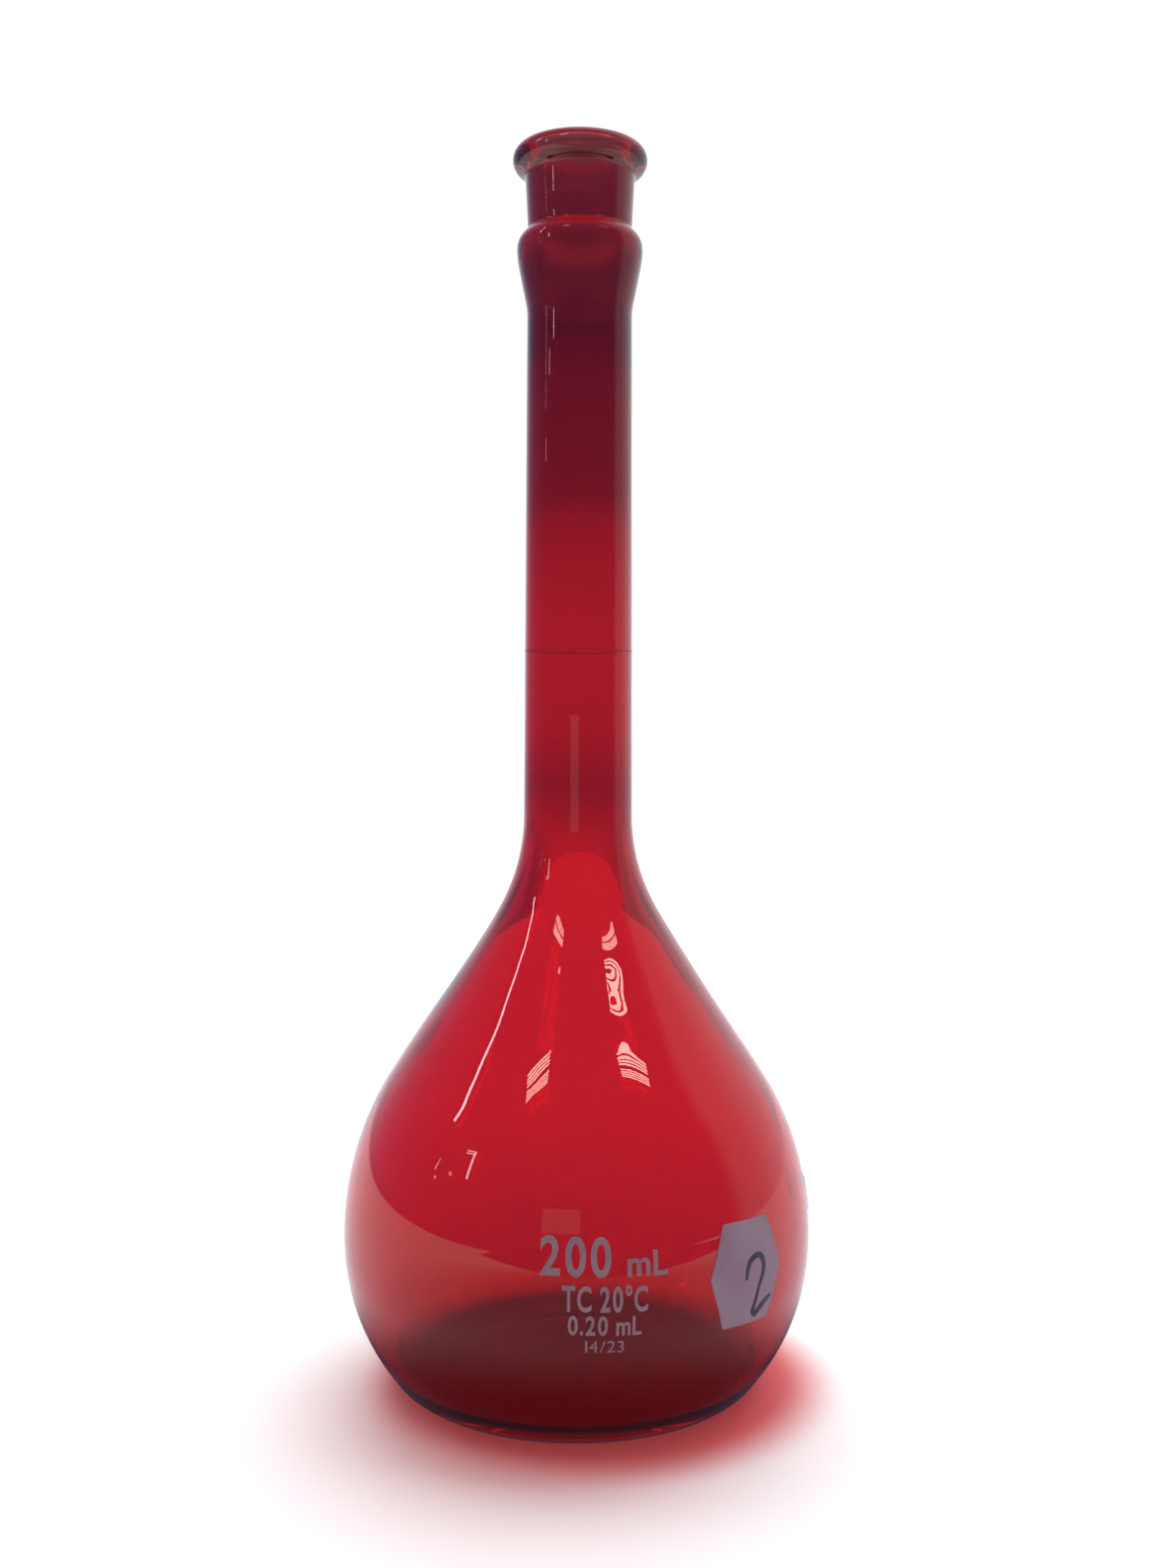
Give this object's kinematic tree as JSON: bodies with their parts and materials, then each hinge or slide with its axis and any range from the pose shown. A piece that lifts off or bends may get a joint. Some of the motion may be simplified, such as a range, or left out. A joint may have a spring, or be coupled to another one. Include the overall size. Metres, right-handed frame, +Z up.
{
  "type": "volumetric flask",
  "caption": "Stoppered-neck volumetric flask in thin ruby glass: pear-shaped bulb with a flat base, long narrow neck with a fill line, collar and tapered socket with a rolled lip.",
  "frame": {"origin": "centre of the base, on the surface the flask stands on", "axes": "+Z up the axis of the neck; the front print faces -Y; the label and the side print are towards +X"},
  "size_m": [0.075, 0.075, 0.1954],
  "materials": {
    "ruby_glass": "clear gloss, red surface stain",
    "enamel": "fired screen-printed enamel, satin",
    "label_paper": "matt sticker",
    "ink": "dry marker ink, matt"
  },
  "bodies": {
    "root": {"capacity_1_2": "enamel", "capacity_2_0": "enamel", "capacity_3_0": "enamel", "capacity_unit_1_m": "enamel", "capacity_unit_2_L": "enamel", "flask_body": "ruby_glass", "graduation_ring": "enamel", "label": "label_paper", "label_figure_2": "ink", "side_capacity_1_2": "enamel", "side_capacity_2_0": "enamel", "side_capacity_3_0": "enamel", "side_capacity_unit_1_m": "enamel", "side_capacity_unit_2_L": "enamel", "socket_size_1_1": "enamel", "socket_size_2_4": "enamel", "socket_size_3_slash": "enamel", "socket_size_4_2": "enamel", "socket_size_5_3": "enamel", "temperature_1_T": "enamel", "temperature_2_C": "enamel", "temperature_3_2": "enamel", "temperature_4_0": "enamel", "temperature_5_degree": "enamel", "temperature_6_C": "enamel", "tolerance_1_0": "enamel", "tolerance_2_point": "enamel", "tolerance_3_2": "enamel", "tolerance_4_0": "enamel", "tolerance_5_m": "enamel", "tolerance_6_L": "enamel"}
  },
  "joints": []
}
